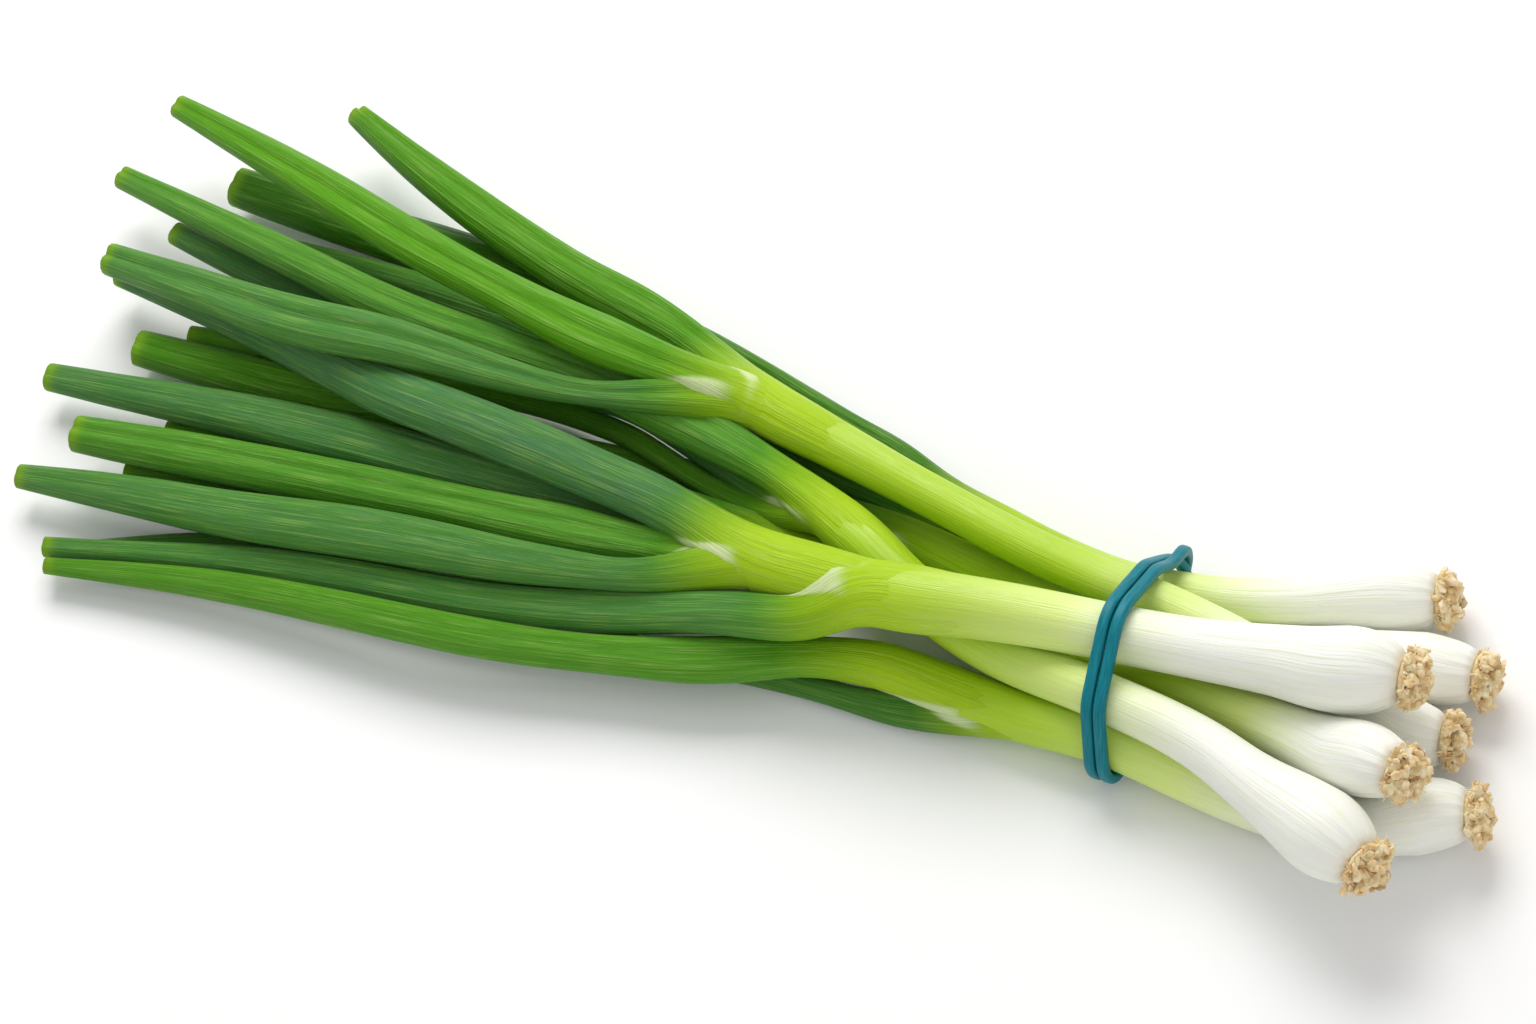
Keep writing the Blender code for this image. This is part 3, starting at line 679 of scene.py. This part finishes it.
def root_tree():
    """Breaks a smooth cushion into crusty lobes, with chips on its face and root teeth round its rim."""
    tree = bpy.data.node_groups.new("root_cushion", "GeometryNodeTree")
    given, result = sockets(
        tree,
        [("Cushion", "Geometry", None), ("Crust", "Float", 0.0016), ("Lobe Size", "Float", 0.0034),
         ("Grain Scale", "Float", 900.0), ("Chips", "Float", 300000.0), ("Chip Size", "Float", 0.0015),
         ("Teeth", "Float", 1500000.0), ("Tooth Length", "Float", 0.0013), ("Tooth Tip", "Float", 0.00008),
         ("Tooth Foot", "Float", 0.00032), ("Seed", "Int", 1), ("Finish", "Material", None)],
        [("Mesh", "Geometry")])
    # The crust stands up in lobes, with pits along the lines between them.
    lobes = add_node(tree, "ShaderNodeTexVoronoi", position(tree), feature="DISTANCE_TO_EDGE")
    tree.links.new(math_node(tree, "DIVIDE", 1.0, given["Lobe Size"]), lobes.inputs["Scale"])
    from_edge = lobes.outputs["Distance"]
    rough = noise_node(tree, position(tree), 1.0)
    tree.links.new(given["Grain Scale"], rough.inputs["Scale"])
    face = kept(tree, "face")
    height = plus(tree, remapped(tree, from_edge, 0.0, 0.22, -1.0, 0.35), swung(tree, rough.outputs[0], 0.9))
    height = times(tree, times(tree, height, given["Crust"]), face)
    raised = scaled(tree, add_node(tree, "GeometryNodeInputNormal").outputs[0], height)
    broken = add_node(tree, "GeometryNodeSetPosition", given["Cushion"], None, None, raised)
    pit = times(tree, remapped(tree, from_edge, 0.13, 0.0), face)
    marked = add_node(tree, "GeometryNodeStoreNamedAttribute", broken.outputs[0], None, "pit", pit,
                      data_type="FLOAT", domain="POINT")

    chip = add_node(tree, "GeometryNodeMeshIcoSphere", given["Chip Size"], 1)
    tooth = add_node(tree, "GeometryNodeMeshCone", fill_type="TRIANGLE_FAN")
    tooth.inputs["Vertices"].default_value = 5
    tooth.inputs["Side Segments"].default_value = 2
    for label, source in (("Radius Top", "Tooth Tip"), ("Radius Bottom", "Tooth Foot"),
                          ("Depth", "Tooth Length")):
        tree.links.new(given[source], tooth.inputs[label])
    # For each kind: how many to a square metre, where, their greatest turn, and their least and most sizes.
    strewn = []
    for shape, density, where, wild_turn, sizes in (
            (chip.outputs[0], given["Chips"], face, 3.14, ((0.5, 0.5, 0.3), (1.4, 1.4, 0.8))),
            (tooth.outputs[0], given["Teeth"], kept(tree, "rim"), 0.35, ((0.6, 0.6, 0.5), (1.2, 1.2, 1.4)))):
        points = add_node(tree, "GeometryNodeDistributePointsOnFaces", marked.outputs[0])
        tree.links.new(times(tree, density, where), points.inputs["Density"])
        wild = add_node(tree, "FunctionNodeRandomValue", (-wild_turn,) * 3, (wild_turn,) * 3,
                        data_type="FLOAT_VECTOR")
        turned = add_node(tree, "FunctionNodeRotateRotation", points.outputs["Rotation"], wild.outputs[0],
                          rotation_space="LOCAL")
        size = add_node(tree, "FunctionNodeRandomValue", *sizes, data_type="FLOAT_VECTOR")
        for drawn in (points, wild, size):
            tree.links.new(given["Seed"], drawn.inputs["Seed"])
        set_on = add_node(tree, "GeometryNodeInstanceOnPoints", points.outputs[0])
        for label, source in (("Instance", shape), ("Rotation", turned.outputs[0]),
                              ("Scale", size.outputs[0])):
            tree.links.new(source, set_on.inputs[label])
        strewn.append(set_on.outputs[0])
    both = tree.nodes.new("GeometryNodeJoinGeometry")
    for pieces in (marked.outputs[0], *strewn):
        tree.links.new(pieces, both.inputs[0])
    end_tree(tree, both.outputs[0], given["Finish"], result[0])
    return tree


def ball(segments, rings):
    """Points and faces of a closed ball of radius 1, ring by ring from its lower pole."""
    points = [(0.0, 0.0, -1.0)]
    for ring in range(1, rings):
        level = math.pi * ring / rings
        girth = math.sin(level)
        for step in range(segments):
            turn = math.tau * step / segments
            points.append((girth * math.cos(turn), girth * math.sin(turn), -math.cos(level)))
    points.append((0.0, 0.0, 1.0))
    top = len(points) - 1
    last = top - segments
    faces = []
    for step in range(segments):
        following = (step + 1) % segments
        faces.append((0, 1 + following, 1 + step))
        for low in range(1, last, segments):
            high = low + segments
            faces.append((low + step, low + following, high + following, high + step))
        faces.append((last + step, last + following, top))
    return np.array(points), faces


def cushion_object(onion, sizes):
    """The smooth start of a root cushion: a flat ball on the bulb's end, its face and rim marked 0 to 1."""
    spine = SPINES[onion + "_stem"]
    low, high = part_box(onion + "_roots")
    centre = (np.array(low) + np.array(high)) / 2
    out = spine[0, :3] - spine[1, :3]
    radius = spine[0, 3] * sizes.root_spread
    points, faces = ball(*CUSHION_SIDES)
    heights = points[:, 2].copy()
    turn = np.array(Vector(out / np.linalg.norm(out)).to_track_quat("Z", "Y").to_matrix())
    points = (points * (radius, radius, sizes.root_depth * MM)) @ turn.T + centre
    mesh = bpy.data.meshes.new(onion + "_root_crust")
    mesh.from_pydata(points.tolist(), [], faces)
    keep(mesh, "face", smoothstep(*FACE_BEGINS, heights))
    keep(mesh, "rim", smoothstep(*RIM_BEGINS, heights) * smoothstep(*RIM_ENDS, heights))
    return placed(mesh.name, mesh)


# ---------------- elastic band


def band_plane():
    """The leaning plane that the band's solid lies in: x = level + by_y * y + by_z * z."""
    points = np.array([vertex.co for vertex in NODES["elastic_band"].data.vertices])
    terms = np.column_stack([np.ones(len(points)), points[:, 1], points[:, 2]])
    return np.linalg.lstsq(terms, points[:, 0], rcond=None)[0]


def band_outline(clear, count):
    """Evenly spaced (y, z, outward y, outward z) of the taut line round the stems where the band passes."""
    level, by_y, by_z = band_plane()
    sections = []
    for onion in ONIONS:
        spine = SPINES[onion + "_stem"]
        fine = read_curve(spine, np.linspace(0.0, lengths_along(spine)[-1], BAND_SAMPLES))
        off = fine[:, 0] - (level + by_y * fine[:, 1] + by_z * fine[:, 2])
        for edge in (-BAND_SEARCH, 0.0, BAND_SEARCH):
            sections.append(fine[int(np.argmin(np.abs(off - edge)))][1:4])
    sections = np.array(sections)
    outline = []
    for half_degree in range(720):
        turn = half_degree * math.pi / 360
        outward = np.array((math.cos(turn), math.sin(turn)))
        reach = sections[:, :2] @ outward + sections[:, 2] + clear
        section = sections[int(np.argmax(reach))]
        outline.append((*(section[:2] + (section[2] + clear) * outward), *outward))
    closed = np.array(outline + outline[:1])
    along = np.concatenate([[0.0], np.cumsum(np.linalg.norm(np.diff(closed[:, :2], axis=0), axis=1))])
    even = np.linspace(0.0, along[-1], count, endpoint=False)
    rows = np.column_stack([np.interp(even, along, closed[:, column]) for column in range(4)])
    for _ in range(EVEN_ROUNDS):
        rows = (np.roll(rows, 1, axis=0) + 2 * rows + np.roll(rows, -1, axis=0)) / 4
    rows[:, 2:] /= np.linalg.norm(rows[:, 2:], axis=1)[:, None]
    return rows, along[-1]


def crossing(along, turn_length, turn, reach):
    """(side, lift) of a turn: how far it is off the band's middle line, and over the other turn."""
    s = min(1.0, min(along, turn_length - along) / reach)
    swing = math.pi / 2 * s * (1.5 - 0.5 * s * s)
    side = math.sin(swing) if turn == 0 else -math.sin(swing)
    goes_over = (turn == 0) == (along < turn_length / 2)
    return side, math.cos(swing) if goes_over else 0.0


def band_path(sizes, count=150):
    """Middle line and outward directions of the band's two turns, which cross once behind the bunch."""
    thick = sizes.band_thickness * MM
    rows, turn_length = band_outline(thick / 2 + BAND_CLEAR, count)
    level, by_y, by_z = band_plane()
    pitch = thick + BAND_GAP
    middle, outward = [], []
    for turn in range(2):
        for k, (y, z, out_y, out_z) in enumerate(rows):
            side, lift = crossing(k / count * turn_length, turn_length, turn, sizes.band_crossing * MM)
            x = level + by_y * y + by_z * z + side * pitch / 2
            middle.append((x, y + lift * pitch * out_y, z + lift * pitch * out_z))
            outward.append((0.0, out_y, out_z))
    return np.array(middle), np.array(outward)


def band_tree():
    """Sweeps a soft-cornered strand round a closed path, with a faint unevenness in its width."""
    tree = bpy.data.node_groups.new("rubber_strand", "GeometryNodeTree")
    given, result = sockets(
        tree, [("Path", "Geometry", None), ("Thickness", "Float", 0.0029), ("Flatness", "Float", 0.86),
               ("Corners", "Float", 0.07), ("Unevenness", "Float", 0.10), ("Finish", "Material", None)],
        [("Mesh", "Geometry")])
    skin, core, ahead, length = swept(tree, given["Path"], 24, times(tree, given["Thickness"], 0.5))
    radial = vector_node(tree, "SUBTRACT", position(tree), core)
    out = kept(tree, "out", "FLOAT_VECTOR")
    side = vector_node(tree, "CROSS_PRODUCT", out, ahead)
    outward = vector_node(tree, "DOT_PRODUCT", radial, out)
    around = math_node(tree, "ARCTAN2", outward, vector_node(tree, "DOT_PRODUCT", radial, side))
    fibre = fibre_of(tree, around, length)
    # The radius swells towards four soft corners.
    corner = math_node(tree, "COSINE", times(tree, around, 4.0))
    corner = times(tree, corner, times(tree, given["Corners"], -1.0))
    noise = noise_node(tree, vector_node(tree, "MULTIPLY", fibre, (0.4, 0.4, 160.0)), 1.0)
    swell = plus(tree, plus(tree, corner, swung(tree, noise.outputs[0], given["Unevenness"])), 1.0)
    thinner = times(tree, outward, math_node(tree, "SUBTRACT", given["Flatness"], 1.0))
    section = vector_node(tree, "ADD", radial, scaled(tree, out, thinner))
    formed = vector_node(tree, "ADD", core, scaled(tree, section, swell))
    smooth = add_node(tree, "GeometryNodeSetShadeSmooth", formed_tube(tree, skin, fibre, formed))
    end_tree(tree, smooth.outputs[0], given["Finish"], result[0])
    return tree


# ---------------- settings


def number(name, about, default, **settings):
    """A setting that holds one number."""
    return FloatProperty(name=name, description=about, default=default, **settings)


def tint(name, about, default):
    """A setting that holds a colour."""
    return FloatVectorProperty(name=name, description=about, default=default, subtype="COLOR")


class OnionSizes(bpy.types.PropertyGroup):
    """Sizes of the surfaces drawn over the solids."""

    step: number("Step", "Distance between a tube's rings, in millimetres", 1.5, min=0.5)
    sides: IntProperty(name="Sides", description="Points round a stem or leaf", default=96, min=12)
    ribs: number("Ribs", "Ribs round a leaf, and wrinkles round a bulb's end", 16.0)
    wrinkle_depth: number("Wrinkle Depth", "Depth of a bulb's wrinkles, over its radius", 0.022)
    membrane_reach: number("Membrane Reach", "Width of a sheath's pale edge, in millimetres", 1.6)
    membrane_rise: number("Membrane Rise", "Height of a sheath's edge, in millimetres", 0.45)
    rib_depth: number("Rib Depth", "Height of a leaf's ribs, over its radius", 0.010)
    lumps: number("Lumps", "Unevenness of a leaf, over its radius", 0.16)
    wall: number("Leaf Wall", "Wall of a cut leaf, over its radius", 0.22)
    hollow: number("Hollow Depth", "Depth that a cut leaf is hollow to", 0.012, subtype="DISTANCE",
                   unit="LENGTH")
    root_spread: number("Root Spread", "Root cushion's radius over the bulb end's", 1.05)
    root_depth: number("Root Depth", "Root cushion's half depth, in millimetres", 2.9)
    band_thickness: number("Band Thickness", "Width of a strand, in millimetres", 2.9)
    band_crossing: number("Band Crossing", "Length over which the band's turns cross, in millimetres", 14.0)


class OnionColours(bpy.types.PropertyGroup):
    """Colours of the finishes, as linear red, green and blue."""

    bulb: tint("Bulb", "White of the bulb", (0.91, 0.91, 0.85))
    shaft: tint("Shaft", "Pale green of the shaft", (0.71, 0.84, 0.26))
    neck: tint("Neck", "Yellow green of the neck", (0.42, 0.63, 0.008))
    bright_green: tint("Bright Green", "Green of a young leaf", (0.110, 0.375, 0.001))
    # Also the green of painted shade: leaves that lie under others are mixed towards it.
    old_and_shaded_green: tint("Deep Green", "Green of an old leaf", (0.022, 0.132, 0.001))
    bloom: tint("Bloom", "Grey green of a waxy leaf", (0.066, 0.200, 0.080))
    pale_fibre: tint("Pale Fibre", "Tint of the palest fibres", (0.62, 0.78, 0.22))
    dark_fibre: tint("Dark Fibre", "Shade that the darkest fibres are multiplied by", (0.72, 0.78, 0.60))
    cut_tip: tint("Cut Tip", "Yellow green of a cut tip", (0.20, 0.40, 0.01))
    membrane: tint("Membrane", "Pale skin at a sheath's edge", (0.70, 0.80, 0.44))
    root: tint("Root", "Tan of the dry roots", (0.80, 0.60, 0.32))
    root_light: tint("Root Light", "Palest root tissue", (0.92, 0.80, 0.56))
    root_shade: tint("Root Shade", "Browner root tissue", (0.62, 0.40, 0.16))
    root_pit: tint("Root Pit", "Brown of the gaps between roots", (0.34, 0.17, 0.05))
    band: tint("Band", "Teal of the elastic band", (0.0, 0.180, 0.225))
    paper: tint("Paper", "Studio paper", (0.93, 0.93, 0.93))


class StageSizes(bpy.types.PropertyGroup):
    """Where the camera and the lights stand."""

    azimuth: number("Azimuth", "Camera's turn round the bunch, in degrees", 45.0)
    elevation: number("Elevation", "Camera's height angle, in degrees", 54.0)
    roll: number("Roll", "Camera's turn about its own axis, in degrees", 22.5)
    distance: number("Distance", "Camera's distance", 1.15, subtype="DISTANCE", unit="LENGTH")
    lens: number("Lens", "Focal length in millimetres", 121.3)
    aim: FloatVectorProperty(name="Aim", description="Point that the camera looks at", subtype="TRANSLATION",
                             unit="LENGTH", default=(0.0285, -0.0230, 0.0502))
    key: number("Key Light", "Power of the main softbox", 13.0, subtype="POWER", unit="POWER")
    fill: number("Fill Light", "Power of the front softbox", 2.6, subtype="POWER", unit="POWER")
    sky: number("Sky", "Strength of the light all round", 0.58)


# ---------------- operators


def neck_values(piece, rows):
    """For each point of a finished tube: its place, its ring's middle and how far along the path it is."""
    mesh = piece.data
    place = np.empty(len(mesh.vertices) * 3, np.float32)
    mesh.vertices.foreach_get("co", place)
    fibre = np.empty(len(mesh.vertices) * 3, np.float32)
    mesh.attributes["fibre"].data.foreach_get("vector", fibre)
    along = fibre.reshape(-1, 3)[:, 2].astype(float)
    at = lengths_along(rows)
    middle = np.column_stack([np.interp(along, at, rows[:, k]) for k in range(3)])
    return place.reshape(-1, 3).astype(float), middle, along


def raise_membrane(outer, inner, sizes):
    """Raises and marks the thin pale edge of an outer sheath where an inner tube comes out of it."""
    piece, rows, (zone_start, zone_end) = outer
    place, middle, along = neck_values(piece, rows)
    inner_rows = inner[1]
    from_axis = np.linalg.norm(place[:, None, :] - inner_rows[None, :, :3], axis=2)
    nearest = np.argmin(from_axis, axis=1)
    clear = from_axis[np.arange(len(place)), nearest] - inner_rows[nearest, 3]
    axes_apart = np.linalg.norm(middle[:, None, :] - inner_rows[None, :, :3], axis=2).min(axis=1)
    reach = sizes.membrane_reach * MM
    mask = smoothstep(reach, MEMBRANE_FULL * reach, clear) * smoothstep(*PARTING, axes_apart)
    mask *= smoothstep(zone_start, zone_start + ZONE_EASES[0], along)
    mask *= smoothstep(zone_end, zone_end - ZONE_EASES[1], along)
    if not mask.any():
        return
    out = place - inner_rows[nearest, :3]
    out /= np.linalg.norm(out, axis=1)[:, None]
    place += out * (mask * sizes.membrane_rise * MM)[:, None]
    piece.data.vertices.foreach_set("co", place.astype(np.float32).ravel())
    earlier = np.empty(len(place), np.float32)
    layer = piece.data.attributes["collar"]
    layer.data.foreach_get("value", earlier)
    layer.data.foreach_set("value", np.maximum(earlier, mask).astype(np.float32))
    piece.data.update()


# Each finished stem or leaf: its piece, its path's rows, and the lengths between which it can have an edge.
TUBES = {}


class ONIONS_OT_stems(bpy.types.Operator):
    """Draws the seven stems: white bulb, pale shaft and neck."""

    bl_idname = "onions.stems"
    bl_label = "Stems"

    def execute(self, context):
        sizes, colours = context.scene.onion_sizes, context.scene.onion_colours
        fibre = bpy.data.node_groups["plant_fibre"]
        finish = plant_material("onion_skin", STEM_LOOK, colours, fibre)
        for place_in_row, onion in enumerate(ONIONS):
            rows = stem_rows(onion, sizes.step * MM)
            along = lengths_along(rows)
            ones = np.ones(len(rows))
            values = {"blade": smoothstep(*WRINKLES, along), "flat": ones, "cut": ones * 0.0,
                      "collar": ones * 0.0, "ripe": stem_ripeness(onion, along)}
            host = path_object(onion + "_skin", rows, values)
            piece = run_tree(host, bpy.data.node_groups["grown_tube"],
                             {"Sides": sizes.sides, "Lumps": STEM_LUMPS, "Groove": 0.0,
                              "Seed": float(place_in_row), "Ribs": sizes.ribs,
                              "Rib Depth": sizes.wrinkle_depth, "Finish": finish})
            TUBES[onion + "_stem"] = (piece, rows, (along[-1] - STEM_ZONE[0], along[-1] + STEM_ZONE[1]))
            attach(piece, "root")
            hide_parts(onion + "_stem")
        return {"FINISHED"}


class ONIONS_OT_leaves(bpy.types.Operator):
    """Draws the leaves, each from its sheath in the neck to its cut, hollow tip."""

    bl_idname = "onions.leaves"
    bl_label = "Leaves"

    def execute(self, context):
        sizes, colours = context.scene.onion_sizes, context.scene.onion_colours
        fibre = bpy.data.node_groups["plant_fibre"]
        for place_in_row, leaf in enumerate(LEAVES):
            look = LEAF_LOOKS[leaf]
            rows, sheath_end, ripe = leaf_rows(leaf, sizes.step * MM, look["lip"])
            along = lengths_along(rows)
            blade = smoothstep(*BLADE_FORMING, along - sheath_end)
            cut = smoothstep(along[-1] - CUT_LENGTH, along[-1], along) ** 2
            values = {"blade": blade, "flat": 1.0 - (1.0 - look["flat"]) * blade, "cut": cut,
                      "collar": along * 0.0, "ripe": ripe}
            host = path_object(leaf + "_blade", rows, values)
            finish = plant_material(leaf + "_skin", look, colours, fibre)
            piece = run_tree(host, bpy.data.node_groups["grown_tube"],
                             {"Sides": sizes.sides, "Rib Depth": sizes.rib_depth, "Turn": look["turn"],
                              "Groove": look["groove"], "Lumps": sizes.lumps,
                              "Seed": FIRST_LEAF_SEED + place_in_row, "Ribs": sizes.ribs, "Wall": sizes.wall,
                              "Hollow": sizes.hollow, "Finish": finish})
            TUBES[leaf] = (piece, rows, (sheath_end - SHEATH_ZONE[0], sheath_end + SHEATH_ZONE[1]))
            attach(piece, "root")
            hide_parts(leaf)
        for onion in ONIONS:
            layers = [name for name in LEAVES if name.startswith(onion)] + [onion + "_stem"]
            for k, outer in enumerate(layers):
                for inner in layers[k + 1:] if outer in LEAVES else layers[:-1]:
                    raise_membrane(TUBES[outer], TUBES[inner], sizes)
        return {"FINISHED"}


class ONIONS_OT_roots(bpy.types.Operator):
    """Draws the cushions of dry, trimmed roots on the bulbs' ends."""

    bl_idname = "onions.roots"
    bl_label = "Roots"

    def execute(self, context):
        sizes, colours = context.scene.onion_sizes, context.scene.onion_colours
        finish = root_material(colours)
        for place_in_row, onion in enumerate(ONIONS):
            host = cushion_object(onion, sizes)
            piece = run_tree(host, bpy.data.node_groups["root_cushion"],
                             {"Seed": FIRST_ROOT_SEED + place_in_row, "Finish": finish})
            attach(piece, "root")
            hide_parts(onion + "_roots")
        return {"FINISHED"}


class ONIONS_OT_band(bpy.types.Operator):
    """Draws the elastic band, one loop wound twice round the stems."""

    bl_idname = "onions.band"
    bl_label = "Elastic Band"

    def execute(self, context):
        sizes, colours = context.scene.onion_sizes, context.scene.onion_colours
        middle, outward = band_path(sizes)
        mesh = bpy.data.meshes.new("rubber_band")
        count = len(middle)
        mesh.from_pydata(middle.tolist(), [(k, (k + 1) % count) for k in range(count)], [])
        keep(mesh, "out", outward)
        piece = run_tree(placed("rubber_band", mesh), bpy.data.node_groups["rubber_strand"],
                         {"Thickness": sizes.band_thickness * MM, "Finish": band_material(colours)})
        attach(piece, "root")
        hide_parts("elastic_band")
        return {"FINISHED"}


def add_softbox(name, place, size, colour, power):
    """A large soft area light turned to the middle of the floor."""
    light = bpy.data.lights.new(name, "AREA")
    light.shape = "RECTANGLE"
    light.size, light.size_y = size
    light.energy = power
    light.color = colour
    lamp = placed(name, light)
    lamp.location = place
    lamp.rotation_euler = (-Vector(place)).to_track_quat("-Z", "Y").to_euler()


class ONIONS_OT_stage(bpy.types.Operator):
    """Sets the floor, the lights and the camera."""

    bl_idname = "onions.stage"
    bl_label = "Stage"

    def execute(self, context):
        scene, sizes = context.scene, context.scene.stage_sizes
        bpy.ops.mesh.primitive_plane_add(size=FLOOR_SIZE, location=(0.0, 0.0, 0.0))
        floor = context.active_object
        floor.name = floor.data.name = "studio_floor"
        floor.data.materials.append(floor_material(scene.onion_colours))
        world = bpy.data.worlds.new("studio_light")
        world.use_nodes = True
        background = world.node_tree.nodes["Background"]
        background.inputs["Color"].default_value = (1.0, 1.0, 1.0, 1.0)
        background.inputs["Strength"].default_value = sizes.sky
        scene.world = world
        add_softbox("key_softbox", *KEY_BOX, sizes.key)
        add_softbox("fill_softbox", *FILL_BOX, sizes.fill)
        turn, height = math.radians(sizes.azimuth), math.radians(sizes.elevation)
        level = math.cos(height)
        back = Vector((math.sin(turn) * level, -math.cos(turn) * level, math.sin(height)))
        camera = bpy.data.cameras.new("camera")
        camera.lens = sizes.lens
        camera.sensor_width = SENSOR_WIDTH
        camera.clip_start = NEAREST_SEEN
        viewer = placed("camera", camera)
        upright = back.to_track_quat("Z", "Y").to_matrix()
        rolled = upright @ Matrix.Rotation(math.radians(-sizes.roll), 3, "Z")
        viewer.rotation_euler = rolled.to_euler()
        viewer.location = Vector(sizes.aim) + back * sizes.distance
        scene.camera = viewer
        scene.view_settings.view_transform = "Standard"
        return {"FINISHED"}


class ONIONS_PT_panel(bpy.types.Panel):
    """Lists the bunch's steps and its settings."""

    bl_idname = "ONIONS_PT_panel"
    bl_label = "Spring Onion Bunch"
    bl_space_type = "VIEW_3D"
    bl_region_type = "UI"
    bl_category = "Onions"

    def draw(self, context):
        for step in STEPS:
            self.layout.operator(step.bl_idname)
        for group in (context.scene.onion_sizes, context.scene.onion_colours, context.scene.stage_sizes):
            box = self.layout.box()
            for label in group.bl_rna.properties.keys():
                if label not in ("rna_type", "name"):
                    box.prop(group, label)


GROUPS = {"onion_sizes": OnionSizes, "onion_colours": OnionColours, "stage_sizes": StageSizes}
STEPS = (ONIONS_OT_stage, ONIONS_OT_stems, ONIONS_OT_leaves, ONIONS_OT_roots, ONIONS_OT_band)
CLASSES = (*GROUPS.values(), *STEPS, ONIONS_PT_panel)


def register():
    for made in CLASSES:
        bpy.utils.register_class(made)
    for label, group in GROUPS.items():
        setattr(bpy.types.Scene, label, PointerProperty(type=group))


def unregister():
    for label in GROUPS:
        delattr(bpy.types.Scene, label)
    for made in reversed(CLASSES):
        bpy.utils.unregister_class(made)


def main():
    register()
    fibre_group()
    tube_tree()
    root_tree()
    band_tree()
    bpy.ops.onions.stage()
    bpy.ops.onions.stems()
    bpy.ops.onions.leaves()
    bpy.ops.onions.roots()
    bpy.ops.onions.band()


if __name__ == "__main__":
    main()
